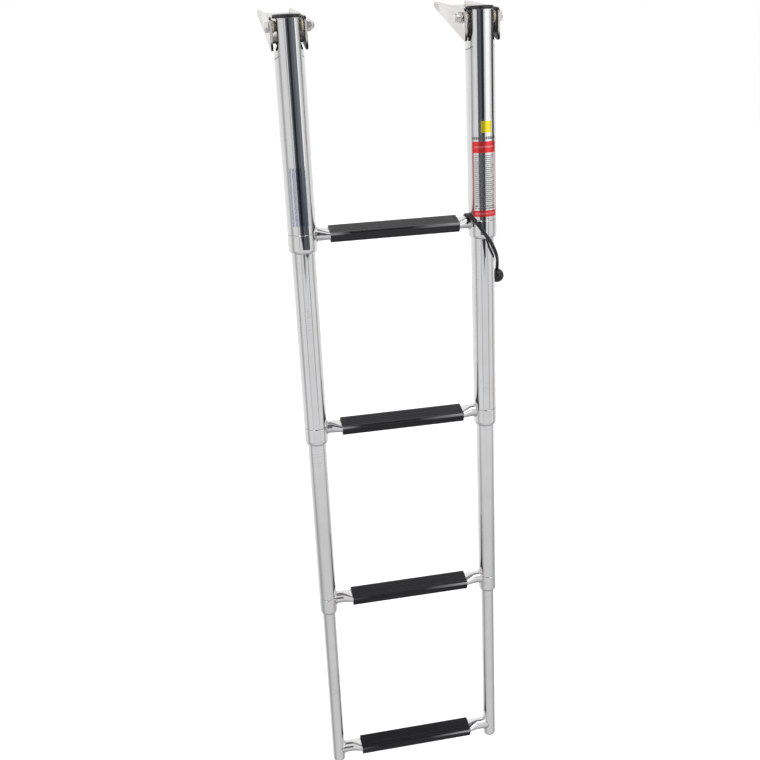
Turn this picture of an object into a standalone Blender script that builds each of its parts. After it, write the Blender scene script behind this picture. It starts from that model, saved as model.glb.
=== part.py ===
"""Boat boarding ladder: four telescoping steps on a pair of hinged deck brackets.

Metres, +Z up, +X to the climber's right, +Y towards the boat. The origin is on
the hinge axis, halfway between the two rails. The ladder hangs fully extended.
"""
from math import atan2, cos, pi, radians, sin, sqrt

import bmesh
import bpy
from mathutils import Vector

# Driving dimensions
RAIL_SPACING = 0.245
TUBE_OD = (0.0381, 0.03175, 0.0254, 0.01905)
TUBE_WALL = 0.0012
STEP_Z = (-0.256, -0.527, -0.798, -1.0642)
GAP = 0.0003

# Rails
HEAD_TOP = 0.009
PRESSED_HALF_WIDTH = 0.014
PRESS_FULL_Z = -0.016
PRESS_START_Z = -0.038
COLLAR_HEIGHT = 0.025
COLLAR_WALL = 0.0019
COLLAR_PROUD = 0.0002
COLLAR_LIP = 0.0024
COLLAR_ROUND = 0.0055
SLIDE_BUSH_HEIGHT = 0.0115
FOOT_BELOW_STEP = 0.025
FOOT_ROUND = 0.006
CAP_HEIGHT = 0.005
CAP_RADIUS = 0.018
CAP_SPIGOT = 0.0035

# Steps
RUNG_OD = 0.018
RUNG_DROP = 0.003
RUNG_FLAT = (0.0225, 0.010)
RUNG_WALL = 0.0012
TREAD_HALF = 0.087
TREAD_SIZE = (0.0270, 0.0142)
TREAD_CORNER = 0.004
TREAD_FORWARD = 0.0025
HANG_ANGLE = radians(17)

# Brackets, measured along the deck (s) and up from it (h)
HINGE_HEIGHT = 0.025
EAR_INNER = 0.020
PLATE = 0.003
EAR_CORNERS = (
    # s, h, corner radius
    (-0.0205, 0.0003, 0.0036),
    (0.1405, 0.0003, 0.0020),
    (0.1405, 0.0073, 0.0028),
    (-0.0098, 0.0387, 0.0085),
)
WEB_BACK = 0.136
SCREW_S = (0.036, 0.078, 0.120)
SCREW_RADIUS = 0.0033

# Hinge hardware, 8 mm
BOLT_RADIUS = 0.004
HEX_FLATS = 0.013
HEAD_THICKNESS = 0.0053
HEAD_CHAMFER = 0.0006
NUT_THICKNESS = 0.008
BOLT_SHOWS = 0.002
BUSH_RADIUS = 0.0078
HOLE_RADIUS = 0.0044

# Retaining strap: a doubled eye riveted behind the first rung's right end, a strand and a ball
EYE_BAND = (0.0050, 0.0027)
EYE_ROUTE = (
    (0.1006, 0.0106, -0.2618),
    (0.1006, 0.0110, -0.2590),
    (0.1006, 0.0095, -0.2535),
    (0.1004, 0.0055, -0.2495),
    (0.1003, 0.0000, -0.2480),
    (0.1010, -0.0046, -0.2490),
    (0.1022, -0.0078, -0.2503),
    (0.1035, -0.0106, -0.2519),
    (0.1048, -0.0130, -0.2535),
    (0.1064, -0.0158, -0.2557),
    (0.1077, -0.0180, -0.2575),
)
RIVET_HEAD = (0.0032, 0.0015)
RIVET_SHANK = 0.0013
RIVET_LENGTH = 0.0068
STRAP_RADIUS = 0.0025
BALL_RADIUS = 0.010
STRAP_ROUTE = (
    (0.1081, -0.0185, -0.2579),
    (0.1110, -0.0215, -0.2613),
    (0.1185, -0.0232, -0.2721),
    (0.1263, -0.0228, -0.2833),
    (0.1326, -0.0196, -0.2945),
    (0.1374, -0.0132, -0.3034),
    (0.1414, -0.0042, -0.3110),
    (0.1447, 0.0056, -0.3195),
    (0.1460, 0.0112, -0.3286),
)
BALL_CENTRE = (0.1461, 0.0130, -0.3392)

SEGMENTS = 24
SIDES = {"left": -1, "right": 1}

STEEL = ("polished_steel", (0.80, 0.81, 0.82), 0.12, 1.0)
CAST = ("satin_steel", (0.70, 0.71, 0.72), 0.25, 1.0)
BOLT = ("bolt_steel", (0.62, 0.62, 0.62), 0.25, 1.0)
RUBBER = ("black_rubber", (0.03, 0.03, 0.033), 0.55, 0.0)
PLASTIC = ("black_plastic", (0.02, 0.02, 0.022), 0.4, 0.0)
NYLON = ("nylon", (0.72, 0.66, 0.52), 0.45, 0.0)


def clear_scene():
    for obj in list(bpy.data.objects):
        bpy.data.objects.remove(obj, do_unlink=True)


def finish_mat(finish):
    name, color, roughness, metallic = finish
    mat = bpy.data.materials.get(name)
    if mat is None:
        mat = bpy.data.materials.new(name)
        mat.use_nodes = True
        shader = mat.node_tree.nodes["Principled BSDF"]
        shader.inputs["Base Color"].default_value = (*color, 1)
        shader.inputs["Roughness"].default_value = roughness
        shader.inputs["Metallic"].default_value = metallic
    return mat


def new_object(name, bm, finish, parent=None):
    """Turn a bmesh into a named object with outward faces."""
    bmesh.ops.recalc_face_normals(bm, faces=bm.faces)
    mesh = bpy.data.meshes.new(name)
    bm.to_mesh(mesh)
    bm.free()
    mesh.shade_smooth()
    mesh.set_sharp_from_angle(angle=radians(35))
    mesh.materials.append(finish_mat(finish))
    obj = bpy.data.objects.new(name, mesh)
    bpy.context.collection.objects.link(obj)
    obj.parent = parent
    return obj


def add_loft(bm, rings, closed):
    """Skin rings of equal count; a closed loft joins the last ring to the first."""
    loops = [[bm.verts.new(p) for p in ring] for ring in rings]
    pairs = list(zip(loops, loops[1:]))
    if closed:
        pairs.append((loops[-1], loops[0]))
    else:
        bm.faces.new(loops[0])
        bm.faces.new(loops[-1])
    for low, high in pairs:
        for i in range(len(low)):
            j = (i + 1) % len(low)
            bm.faces.new((low[i], low[j], high[j], high[i]))


def loft(name, rings, finish, closed=False, parent=None):
    bm = bmesh.new()
    add_loft(bm, rings, closed)
    return new_object(name, bm, finish, parent)


def upright_ring(x, radius, z, half_width=1.0, count=SEGMENTS):
    """A level circle about a rail axis, cut square at half_width either side."""
    ring = []
    for i in range(count):
        angle = 2 * pi * i / count
        across = max(-half_width, min(half_width, radius * cos(angle)))
        ring.append((x + across, radius * sin(angle), z))
    return ring


def cross_ring(x, radius, count=SEGMENTS, hexagon=False):
    """A circle, or a hexagon with the same number of points, about the hinge axis."""
    ring = []
    for i in range(count):
        angle = 2 * pi * i / count
        r = radius
        if hexagon:
            r = radius / cos((angle % (pi / 3)) - pi / 6)
        ring.append((x, r * cos(angle), r * sin(angle)))
    return ring


def turned(name, x, profile, finish, parent):
    """Turn a closed outline of (radius, z) points about a rail axis."""
    rings = [upright_ring(x, r, z) for r, z in profile]
    return loft(name, rings, finish, closed=True, parent=parent)


def cut(obj, cutter):
    cutter.hide_render = True
    cutter.display_type = "WIRE"
    mod = obj.modifiers.new("cut_" + cutter.name, "BOOLEAN")
    mod.operation = "DIFFERENCE"
    mod.solver = "EXACT"
    mod.object = cutter


def empty(name):
    obj = bpy.data.objects.new(name, None)
    bpy.context.collection.objects.link(obj)
    return obj


def rail_x(side):
    return SIDES[side] * RAIL_SPACING / 2


def deck_point(s, h):
    """A point s along the deck and h above it, as (y, z) in the ladder's frame."""
    below = HINGE_HEIGHT - h
    y = s * cos(HANG_ANGLE) + below * sin(HANG_ANGLE)
    z = s * sin(HANG_ANGLE) - below * cos(HANG_ANGLE)
    return y, z


def rounded_outline(corners, steps=5):
    """Round each (u, v, radius) corner of a convex outline with an arc."""
    points = []
    count = len(corners)
    for i, (u, v, radius) in enumerate(corners):
        here = Vector((u, v))
        back = (Vector(corners[i - 1][:2]) - here).normalized()
        ahead = (Vector(corners[(i + 1) % count][:2]) - here).normalized()
        half = back.angle(ahead) / 2
        bisector = (back + ahead).normalized()
        centre = here + bisector * (radius / sin(half))
        start = here + back * (radius / (sin(half) / cos(half))) - centre
        turn = start.angle_signed(here + ahead * (radius / (sin(half) / cos(half))) - centre)
        for k in range(steps + 1):
            angle = atan2(start.y, start.x) - turn * k / steps
            points.append((centre.x + radius * cos(angle), centre.y + radius * sin(angle)))
    return points


def add_plate(bm, outline, x_low, x_high):
    rings = [[(x, *deck_point(s, h)) for s, h in outline] for x in (x_low, x_high)]
    add_loft(bm, rings, closed=False)


def web_outline():
    tube_back = TUBE_OD[0] / 2 + GAP
    front = (tube_back - (HINGE_HEIGHT - PLATE) * sin(HANG_ANGLE)) / cos(HANG_ANGLE)
    return ((front, 0), (WEB_BACK, 0), (WEB_BACK, PLATE), (front, PLATE))


def build_bracket(side, parent):
    """A folded channel: two tapering ears either side of a deck plate."""
    x = rail_x(side)
    outer = EAR_INNER + PLATE
    ear = rounded_outline(EAR_CORNERS)
    bm = bmesh.new()
    add_plate(bm, ear, x - outer, x - EAR_INNER)
    bracket = new_object(side + "_bracket", bm, CAST, parent)
    pieces = (("far_ear", ear, x + EAR_INNER, x + outer),
              ("web", web_outline(), x - EAR_INNER - PLATE / 2, x + EAR_INNER + PLATE / 2))
    for name, outline, low, high in pieces:
        bm = bmesh.new()
        add_plate(bm, outline, low, high)
        piece = new_object(side + "_" + name, bm, CAST)
        cut(bracket, piece)
        bracket.modifiers[-1].operation = "UNION"
    reach = outer + 0.005
    pivot = loft(side + "_pivot_hole", [cross_ring(x - reach, HOLE_RADIUS),
                                        cross_ring(x + reach, HOLE_RADIUS)], CAST)
    cut(bracket, pivot)
    bm = bmesh.new()
    for s in SCREW_S:
        rings = []
        for h in (-0.003, PLATE + 0.003):
            ring = []
            for i in range(12):
                angle = 2 * pi * i / 12
                y, z = deck_point(s + SCREW_RADIUS * sin(angle), h)
                ring.append((x + SCREW_RADIUS * cos(angle), y, z))
            rings.append(ring)
        add_loft(bm, rings, closed=False)
    cut(bracket, new_object(side + "_screw_holes", bm, CAST))


def build_hinge(side, parent):
    """Bolt, lock nut and two nylon bushes; the bolt head faces outboard."""
    x, out = rail_x(side), SIDES[side]
    ear = EAR_INNER + PLATE + GAP
    hexagon = HEX_FLATS / 2
    crown = ear + HEAD_THICKNESS
    tip = ear + NUT_THICKNESS + BOLT_SHOWS
    head = [cross_ring(x + out * crown, hexagon * 0.94),
            cross_ring(x + out * (crown - HEAD_CHAMFER), hexagon, hexagon=True),
            cross_ring(x + out * ear, hexagon, hexagon=True),
            cross_ring(x + out * ear, BOLT_RADIUS),
            cross_ring(x - out * (tip - HEAD_CHAMFER), BOLT_RADIUS),
            cross_ring(x - out * tip, BOLT_RADIUS - HEAD_CHAMFER)]
    loft(side + "_hinge_bolt", head, BOLT, parent=parent)
    bore = BOLT_RADIUS + GAP
    nut = [cross_ring(x - out * ear, hexagon, hexagon=True),
           cross_ring(x - out * (ear + NUT_THICKNESS * 0.72), hexagon, hexagon=True),
           cross_ring(x - out * (ear + NUT_THICKNESS * 0.80), hexagon * 0.93),
           cross_ring(x - out * (ear + NUT_THICKNESS), hexagon * 0.78),
           cross_ring(x - out * (ear + NUT_THICKNESS), bore),
           cross_ring(x - out * ear, bore)]
    loft(side + "_lock_nut", nut, BOLT, closed=True, parent=parent)
    for where, sign in (("outer", out), ("inner", -out)):
        near = x + sign * (PRESSED_HALF_WIDTH + GAP)
        far = x + sign * (EAR_INNER - GAP)
        rings = [cross_ring(near, BUSH_RADIUS), cross_ring(far, BUSH_RADIUS),
                 cross_ring(far, bore), cross_ring(near, bore)]
        loft(f"{side}_hinge_bush_{where}", rings, NYLON, closed=True, parent=parent)


def pressed_width(radius, z):
    """Half width of the upper tube, flattened either side at the hinge."""
    t = min(1, max(0, (z - PRESS_START_Z) / (PRESS_FULL_Z - PRESS_START_Z)))
    ease = t * t * (3 - 2 * t)
    inset = TUBE_OD[0] / 2 - radius
    return radius + (PRESSED_HALF_WIDTH - inset - radius) * ease


def build_upper_tube(side, parent):
    x, radius = rail_x(side), TUBE_OD[0] / 2
    bore = radius - TUBE_WALL
    ramp = [PRESS_START_Z + (PRESS_FULL_Z - PRESS_START_Z) * t for t in (0, 0.3, 0.5, 0.7, 1)]
    levels = [STEP_Z[0] + GAP / 2] + ramp + [HEAD_TOP]
    rings = [upright_ring(x, radius, z, pressed_width(radius, z)) for z in levels]
    rings += [upright_ring(x, bore, z, pressed_width(bore, z)) for z in reversed(levels)]
    tube = loft(side + "_upper_tube", rings, STEEL, closed=True, parent=parent)
    hole = [cross_ring(x - radius, HOLE_RADIUS, 16), cross_ring(x + radius, HOLE_RADIUS, 16)]
    cut(tube, loft(side + "_tube_hole", hole, STEEL))


def build_end_cap(side, parent):
    """Domed plastic cap with a short spigot in the pressed tube end."""
    x = rail_x(side)
    bore = TUBE_OD[0] / 2 - TUBE_WALL - GAP
    seat = HEAD_TOP + GAP
    slim = PRESSED_HALF_WIDTH - TUBE_WALL - GAP
    rings = [upright_ring(x, bore, seat - CAP_SPIGOT, slim),
             upright_ring(x, bore, seat, slim),
             upright_ring(x, CAP_RADIUS, seat),
             upright_ring(x, CAP_RADIUS, seat + CAP_HEIGHT * 0.70),
             upright_ring(x, CAP_RADIUS * 0.96, seat + CAP_HEIGHT * 0.90),
             upright_ring(x, CAP_RADIUS * 0.80, seat + CAP_HEIGHT)]
    loft(side + "_end_cap", rings, PLASTIC, parent=parent)


def build_collar(side, index, parent):
    """Welded collar at a section's foot, and the nylon bush that guides the next tube."""
    x, line = rail_x(side), STEP_Z[index]
    radius = TUBE_OD[index] / 2 + COLLAR_PROUD
    following = TUBE_OD[index + 1] / 2
    cavity = radius - COLLAR_WALL
    mouth = following + GAP
    top, bottom = line - GAP / 2, line - COLLAR_HEIGHT
    shoulder = radius - COLLAR_ROUND * 0.55
    profile = [(mouth, bottom), (max(mouth + 0.0008, radius - COLLAR_ROUND * 0.75), bottom),
               (shoulder + COLLAR_ROUND * 0.35, bottom + COLLAR_ROUND * 0.42),
               (radius, bottom + COLLAR_ROUND),
               (radius, top), (cavity, top), (cavity, bottom + COLLAR_LIP),
               (mouth, bottom + COLLAR_LIP)]
    number = index + 1
    turned(f"{side}_collar_{number}", x, profile, STEEL, parent)
    low, high = bottom + COLLAR_LIP + GAP, line - 0.0005
    bush = [(mouth, low), (cavity - GAP, low), (cavity - GAP, high), (mouth, high)]
    turned(f"{side}_collar_bush_{number}", x, bush, NYLON, parent)


def build_lower_tube(side, index, parent):
    """A sliding tube with its nylon slide bush; the last one has a rounded closed foot."""
    x, radius = rail_x(side), TUBE_OD[index] / 2
    bore = radius - TUBE_WALL
    top = STEP_Z[index - 1] + SLIDE_BUSH_HEIGHT + GAP
    name = f"{side}_tube_{index + 1}"
    if index < len(STEP_Z) - 1:
        foot = STEP_Z[index] + GAP / 2
        turned(name, x, [(radius, foot), (radius, top), (bore, top), (bore, foot)], STEEL, parent)
    else:
        foot = STEP_Z[index] - FOOT_BELOW_STEP
        rings = [upright_ring(x, bore * 0.5, foot + TUBE_WALL),
                 upright_ring(x, bore, foot + FOOT_ROUND),
                 upright_ring(x, bore, top), upright_ring(x, radius, top)]
        for k in range(4):
            angle = pi / 2 * k / 3.4
            inset = FOOT_ROUND * (1 - cos(angle))
            rings.append(upright_ring(x, radius - inset, foot + FOOT_ROUND * (1 - sin(angle))))
        loft(name, rings, STEEL, parent=parent)
    inner = radius + GAP
    outer = TUBE_OD[index - 1] / 2 - TUBE_WALL - GAP
    low = STEP_Z[index - 1]
    high = low + SLIDE_BUSH_HEIGHT
    turned(f"{side}_slide_bush_{index + 1}", x,
           [(inner, low), (outer, low), (outer, high), (inner, high)], NYLON, parent)


def tilted(u, v, index):
    """A point of a step's section, u towards the boat and v up, tilted to lie level in use."""
    y = u * cos(HANG_ANGLE) - v * sin(HANG_ANGLE) - TREAD_FORWARD
    z = u * sin(HANG_ANGLE) + v * cos(HANG_ANGLE) + STEP_Z[index] - RUNG_DROP
    return y, z


def flat_oval(width, height, angle):
    """A point on a flat-sided oval, by direction."""
    end = height / 2
    straight = width / 2 - end
    return (straight if cos(angle) > 0 else -straight) + end * cos(angle), end * sin(angle)


def rung_ring(index, x, flatness, shrink=0.0, count=20):
    """The rung's section: round at the rails, a tilted flat oval under the tread."""
    ring = []
    for i in range(count):
        angle = 2 * pi * (i + 0.5) / count
        radius = RUNG_OD / 2 - shrink
        round_y = radius * cos(angle + HANG_ANGLE)
        round_z = radius * sin(angle + HANG_ANGLE) + STEP_Z[index] - RUNG_DROP
        u, v = flat_oval(RUNG_FLAT[0] - 2 * shrink, RUNG_FLAT[1] - 2 * shrink, angle)
        flat_y, flat_z = tilted(u, v, index)
        y = round_y + (flat_y - round_y) * flatness
        z = round_z + (flat_z - round_z) * flatness
        ring.append((x, y, z))
    return ring


def coped(ring, index, sign):
    """Move a rung end's points onto the rail's surface."""
    clear = TUBE_OD[index] / 2 + COLLAR_PROUD + GAP
    centre = sign * RAIL_SPACING / 2
    return [(centre - sign * sqrt(clear ** 2 - y ** 2), y, z) for _, y, z in ring]


def build_rung(index, parent):
    """A tube, coped to both rails and pressed flat under the tread."""
    stations = ((TREAD_HALF - 0.001, 1.0), (TREAD_HALF + 0.005, 0.7), (TREAD_HALF + 0.010, 0.3))
    rings = []
    for shrink, order in ((0.0, 1), (RUNG_WALL, -1)):
        run = [coped(rung_ring(index, 0, 0, shrink), index, -1)]
        run += [rung_ring(index, -x, flat, shrink) for x, flat in reversed(stations)]
        run += [rung_ring(index, x, flat, shrink) for x, flat in stations]
        run.append(coped(rung_ring(index, 0, 0, shrink), index, 1))
        rings += run[::order]
    return loft(f"rung_{index + 1}", rings, STEEL, closed=True, parent=parent)


def build_tread(index, parent):
    """A rubber sleeve round the flat of the rung."""
    width, height = TREAD_SIZE
    corners = [(su * width / 2, sv * height / 2, TREAD_CORNER)
               for su, sv in ((-1, -1), (1, -1), (1, 1), (-1, 1))]
    outer = rounded_outline(corners)
    inner = [flat_oval(RUNG_FLAT[0] + 2 * GAP, RUNG_FLAT[1] + 2 * GAP,
                       pi + 2 * pi * (i + 0.5) / len(outer)) for i in range(len(outer))]
    rings = [[(x, *tilted(u, v, index)) for u, v in outline]
             for outline, x in ((outer, -TREAD_HALF), (outer, TREAD_HALF),
                                (inner, TREAD_HALF), (inner, -TREAD_HALF))]
    loft(f"tread_{index + 1}", rings, RUBBER, closed=True, parent=parent)


def build_strap_eye(parent):
    """The strap's doubled end: up the rung's back, over its top and off its front."""
    half_width, half_thick = EYE_BAND[0] / 2, EYE_BAND[1] / 2
    points = smooth_route(EYE_ROUTE, 2)
    rings = []
    for before, point, after in zip(points[:1] + points, points, points[1:] + points[-1:]):
        ahead = (after - before).normalized()
        side = (Vector((1, 0, 0)) - ahead * ahead.x).normalized()
        out = ahead.cross(side)
        rings.append([point + side * (half_width * u) + out * (half_thick * v)
                      for u, v in ((-1, 0.5), (-0.7, 1), (0.7, 1), (1, 0.5),
                                   (1, -0.5), (0.7, -1), (-0.7, -1), (-1, -0.5))])
    return loft("strap_eye", rings, RUBBER, parent=parent)


def build_strap_rivet(parent, held):
    """A rivet through the eye and the rung's back wall."""
    x, y, z = EYE_ROUTE[1]
    seat = y + EYE_BAND[1] / 2 + GAP

    def ring(radius, where):
        return [(x + radius * cos(2 * pi * i / 16), where, z + radius * sin(2 * pi * i / 16))
                for i in range(16)]

    radius, height = RIVET_HEAD
    loft("strap_rivet", [ring(RIVET_SHANK, seat - RIVET_LENGTH), ring(RIVET_SHANK, seat),
                         ring(radius, seat), ring(radius * 0.85, seat + height * 0.6),
                         ring(radius * 0.4, seat + height)], BOLT, parent=parent)
    hole = loft("rivet_hole", [ring(RIVET_SHANK + GAP, 0.003), ring(RIVET_SHANK + GAP, 0.02)], BOLT)
    for obj in held:
        cut(obj, hole)


def build_strap(parent):
    """The hanging strand and the ball on its end."""
    curve = bpy.data.curves.new("retaining_strap", "CURVE")
    curve.dimensions = "3D"
    curve.bevel_depth = STRAP_RADIUS
    curve.bevel_resolution = 2
    curve.use_fill_caps = True
    spline = curve.splines.new("POLY")
    points = smooth_route(STRAP_ROUTE, 3)
    spline.points.add(len(points) - 1)
    for target, point in zip(spline.points, points):
        target.co = (*point, 1)
    curve.materials.append(finish_mat(RUBBER))
    strap = bpy.data.objects.new("retaining_strap", curve)
    bpy.context.collection.objects.link(strap)
    strap.parent = parent

    bm = bmesh.new()
    bmesh.ops.create_uvsphere(bm, u_segments=16, v_segments=10, radius=BALL_RADIUS)
    bmesh.ops.translate(bm, verts=bm.verts, vec=BALL_CENTRE)
    new_object("strap_ball", bm, RUBBER, parent)


def smooth_route(route, steps):
    """Points along a Catmull-Rom curve through the route."""
    pts = [Vector(p) for p in route]
    pts = [2 * pts[0] - pts[1]] + pts + [2 * pts[-1] - pts[-2]]
    result = []
    for a, b, c, d in zip(pts, pts[1:], pts[2:], pts[3:]):
        for k in range(steps):
            t = k / steps
            result.append(0.5 * (2 * b + (c - a) * t + (2 * a - 5 * b + 4 * c - d) * t ** 2
                                 + (3 * b - a - 3 * c + d) * t ** 3))
    result.append(pts[-2])
    return result


def build():
    clear_scene()
    deck = empty("deck_frame")
    sections = [empty(f"section_{number}_frame") for number in (1, 2, 3, 4)]
    for side in SIDES:
        build_bracket(side, deck)
        build_hinge(side, deck)
        build_upper_tube(side, sections[0])
        build_end_cap(side, sections[0])
        for index in (0, 1, 2):
            build_collar(side, index, sections[index])
        for index in (1, 2, 3):
            build_lower_tube(side, index, sections[index])
    rungs = [build_rung(index, sections[index]) for index in range(4)]
    for index in range(4):
        build_tread(index, sections[index])
    build_strap_rivet(sections[0], (rungs[0], build_strap_eye(sections[0])))
    build_strap(sections[0])


build()
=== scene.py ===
"""Looks for the boat boarding ladder: polished telescoping rails, ribbed rubber treads."""
from math import acos, atan2, cos, exp, pi, radians, sin, sqrt

import bmesh
import bpy
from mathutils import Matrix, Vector


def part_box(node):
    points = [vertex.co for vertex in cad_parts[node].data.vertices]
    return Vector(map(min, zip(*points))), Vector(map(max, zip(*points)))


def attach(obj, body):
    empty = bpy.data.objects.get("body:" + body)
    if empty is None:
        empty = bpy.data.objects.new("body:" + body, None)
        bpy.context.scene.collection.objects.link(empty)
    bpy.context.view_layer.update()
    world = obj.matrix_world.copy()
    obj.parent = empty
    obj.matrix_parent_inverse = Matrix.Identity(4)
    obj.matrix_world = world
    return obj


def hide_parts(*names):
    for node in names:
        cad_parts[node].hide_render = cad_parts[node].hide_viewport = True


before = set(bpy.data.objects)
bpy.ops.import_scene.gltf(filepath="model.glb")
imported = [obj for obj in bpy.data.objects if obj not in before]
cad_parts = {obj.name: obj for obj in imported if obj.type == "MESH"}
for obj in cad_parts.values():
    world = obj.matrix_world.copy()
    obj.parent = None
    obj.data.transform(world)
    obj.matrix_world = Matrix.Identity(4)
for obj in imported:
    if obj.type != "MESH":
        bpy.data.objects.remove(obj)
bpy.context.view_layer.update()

SIDES = {"left": -1, "right": 1}
SECTIONS = (1, 2, 3, 4)
WALL, GAP, EDGE = 0.0012, 0.0003, 0.0003
ROUND = 96

# The deck and the treads slope by this much while the rails hang upright.
HANG_ANGLE = radians(17)
HINGE_HEIGHT = 0.025
EAR_INNER, PLATE = 0.020, 0.003
EAR_OUTER = EAR_INNER + PLATE
EAR_CORNERS = ((-0.0205, 0.0003, 0.0036), (0.1405, 0.0003, 0.002),
               (0.1405, 0.0073, 0.0028), (-0.0098, 0.0387, 0.0085))
WEB_END, INNER_BEND = 0.136, 0.0022
SCREW_S, SCREW_HOLE, SCREW_HEAD = (0.036, 0.078, 0.120), 0.0033, 0.0063

# The upper tube is pressed flat either side of the hinge and keeps the press's marks.
PRESSED_HALF_WIDTH = 0.014
PRESS_FULL_Z, PRESS_START_Z = -0.016, -0.038
MARK_Z, MARK_RISE, MARK_SPREAD = -0.0385, 0.0046, radians(48)
MARK_RINGS_Z, MARK_RING_STEP = -0.0425, 0.0006

# Hinge bolt, nut and bushes.
BOLT_HOLE, SHANK, THREAD_ROOT = 0.0044, 0.004, 0.00345
PIN_BORE, HEX_WIDTH = 0.0043, 0.013
BOLT_TURN = {"left": radians(11), "right": radians(37)}
NUT_TURN = {"left": radians(24), "right": radians(-8)}
BUSH_STEP = 0.0169

# Rungs and treads.
RUNG_RADIUS, FLAT_WIDTH, FLAT_HEIGHT = 0.009, 0.0225, 0.010
RUNG_TAPER, WELD_LIFT = 0.0160, 0.0002
TREAD_WIDTH, TREAD_HEIGHT, TREAD_BEVEL = 0.0270, 0.0142, 0.0005
RIBS, RIB_STEPS, GROOVE = 6, 72, 0.00055

# Colour, roughness and grain of steels; colour, roughness and texture scale of nylon.
RAIL_FINISH = ((0.80, 0.80, 0.81), 0.035, 0.03)
BOLT_FINISH = ((0.74, 0.73, 0.73), 0.08, 0.06)
NYLON = ((0.60, 0.55, 0.44), 0.42, 500)


def box(node):
    low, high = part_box(node)
    return Vector(low), Vector(high)


def middle(node):
    low, high = box(node)
    return (low + high) / 2


def half_width(node):
    low, high = box(node)
    return (high.x - low.x) / 2


RAIL_X = {side: middle(f"{side}_tube_4").x for side in SIDES}
TUBE_R = [half_width(f"left_{tube}") for tube in ("upper_tube", "tube_2", "tube_3", "tube_4")]
TREAD_HALF = box("tread_1")[1].x
RUNG_Z = [middle(f"tread_{k}").z for k in SECTIONS]
RUNG_Y = middle("tread_1").y


# ---- camera

def make_camera():
    data = bpy.data.cameras.new("camera")
    data.lens = 47.98
    data.sensor_width = 36
    data.clip_start, data.clip_end = 0.05, 60
    camera = bpy.data.objects.new("camera", data)
    camera.location = (-0.27223, -1.31021, -0.01300)
    camera.rotation_euler = (radians(71.0731), radians(2.6443), radians(-11.4467))
    bpy.context.collection.objects.link(camera)
    bpy.context.scene.camera = camera


# ---- mesh helpers

def place(obj, material, body, slot, *nodes):
    """Give a piece its material and the body it rides on, and hide the CAD nodes it stands for."""
    obj.data.materials.clear()
    obj.data.materials.append(material)
    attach(obj, body)
    if nodes:
        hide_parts(*nodes)


def mesh_object(name, bm, sharp=40):
    obj = bpy.data.objects.new(name, bpy.data.meshes.new(name))
    bpy.context.collection.objects.link(obj)
    bmesh.ops.recalc_face_normals(bm, faces=bm.faces)
    bm.to_mesh(obj.data)
    bm.free()
    shade(obj.data, sharp)
    return obj


def shade(mesh, sharp):
    mesh.shade_smooth()
    mesh.set_sharp_from_angle(angle=radians(sharp))


def skin(name, rings, closed=False, sharp=40):
    """Skin rings of equal count; an open skin is capped, a closed one joins end to end."""
    bm = bmesh.new()
    loops = [[bm.verts.new(p) for p in ring] for ring in rings]
    pairs = list(zip(loops, loops[1:]))
    if closed:
        pairs.append((loops[-1], loops[0]))
    else:
        bm.faces.new(loops[0])
        bm.faces.new(reversed(loops[-1]))
    for low, high in pairs:
        for i in range(len(low)):
            j = (i + 1) % len(low)
            bm.faces.new((low[i], low[j], high[j], high[i]))
    return mesh_object(name, bm, sharp)


def spokes(count, phase=0.0):
    """Cosine and sine of evenly spaced directions."""
    turns = [2 * pi * i / count + phase for i in range(count)]
    return [(cos(turn), sin(turn)) for turn in turns]


def circle(x, radius, z):
    """A level circle about a rail axis."""
    return [(x + radius * c, radius * s, z) for c, s in spokes(ROUND)]


def cross_circle(x, radius, count=64, phase=0.0):
    """A circle about the hinge axis."""
    return [(x, radius * c, radius * s) for c, s in spokes(count, phase)]


def held(profile, closed, hold=0.00025):
    """Add points beside the ends of long runs, so that shading bends only at the corners."""
    points = []
    count = len(profile)
    for i, (r, z) in enumerate(profile):
        points.append((r, z))
        if i == count - 1 and not closed:
            break
        nr, nz = profile[(i + 1) % count]
        run = sqrt((nr - r) ** 2 + (nz - z) ** 2)
        if run > 0.0015:
            t = hold / run
            points += [(r + (nr - r) * t, z + (nz - z) * t),
                       (nr - (nr - r) * t, nz - (nz - z) * t)]
    return points


def turned(name, x, profile, closed=True, sharp=40):
    """Turn an outline of (radius, z) points about a rail axis."""
    return skin(name, [circle(x, r, z) for r, z in held(profile, closed)], closed, sharp)


def arc(cu, cv, radius, start, end, steps):
    """Points of an arc in a (u, v) plane, angles in degrees."""
    return [(cu + radius * cos(radians(start + (end - start) * k / steps)),
             cv + radius * sin(radians(start + (end - start) * k / steps)))
            for k in range(steps + 1)]


def rounded(corners, steps=6):
    """Round each (u, v, radius) corner of a convex outline."""
    points = []
    for i, (u, v, radius) in enumerate(corners):
        here = Vector((u, v))
        back = (Vector(corners[i - 1][:2]) - here).normalized()
        ahead = (Vector(corners[(i + 1) % len(corners)][:2]) - here).normalized()
        half = back.angle(ahead) / 2
        reach = radius * cos(half) / sin(half)
        centre = here + (back + ahead).normalized() * (radius / sin(half))
        start, end = here + back * reach - centre, here + ahead * reach - centre
        turn = start.angle_signed(end)
        first = atan2(start.y, start.x)
        points += [(centre.x + radius * cos(first - turn * k / steps),
                    centre.y + radius * sin(first - turn * k / steps)) for k in range(steps + 1)]
    return points


def boolean(obj, tool, operation="DIFFERENCE"):
    """Apply a boolean at once and drop the tool."""
    mod = obj.modifiers.new("cut", "BOOLEAN")
    mod.operation, mod.solver, mod.object = operation, "EXACT", tool
    bake(obj)
    bpy.data.objects.remove(tool, do_unlink=True)


def bake(obj, sharp=40):
    """Replace a mesh by its evaluated self."""
    depsgraph = bpy.context.evaluated_depsgraph_get()
    mesh = bpy.data.meshes.new_from_object(obj.evaluated_get(depsgraph))
    obj.modifiers.clear()
    obj.data = mesh
    shade(mesh, sharp)


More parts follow.
